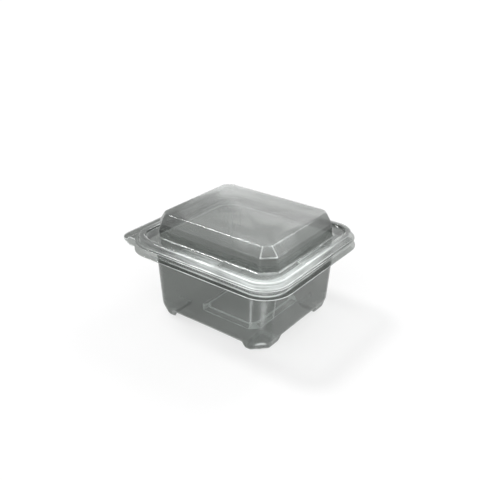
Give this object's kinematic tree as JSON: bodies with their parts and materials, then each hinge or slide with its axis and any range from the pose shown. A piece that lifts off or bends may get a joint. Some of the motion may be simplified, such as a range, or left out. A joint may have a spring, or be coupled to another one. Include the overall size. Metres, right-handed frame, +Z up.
{
  "type": "plastic clamshell pack",
  "caption": "Clear hinged food pack: a near-square tub on corner feet, with a beaded rim, and a domed lid that swings on a living hinge along one side.",
  "frame": {"origin": "centre of the pack's bounding box, hinge leaf included, on the ground under its feet", "axes": "+X from the hinge to the opening side, +Y along the hinge, +Z up; the pack is closed"},
  "size_m": [0.1414, 0.117, 0.0774],
  "materials": {
    "clear_sheet": "clear, glossy, faintly grey"
  },
  "bodies": {
    "tub": {"tub": "clear_sheet"},
    "lid": {"lid": "clear_sheet"}
  },
  "joints": [
    {"name": "lid_hinge", "type": "hinge", "parent": "tub", "child": "lid", "pos_m": [-0.07075, 0, 0.0546], "axis": [0, -1, 0], "range_deg": [0, 180]}
  ]
}
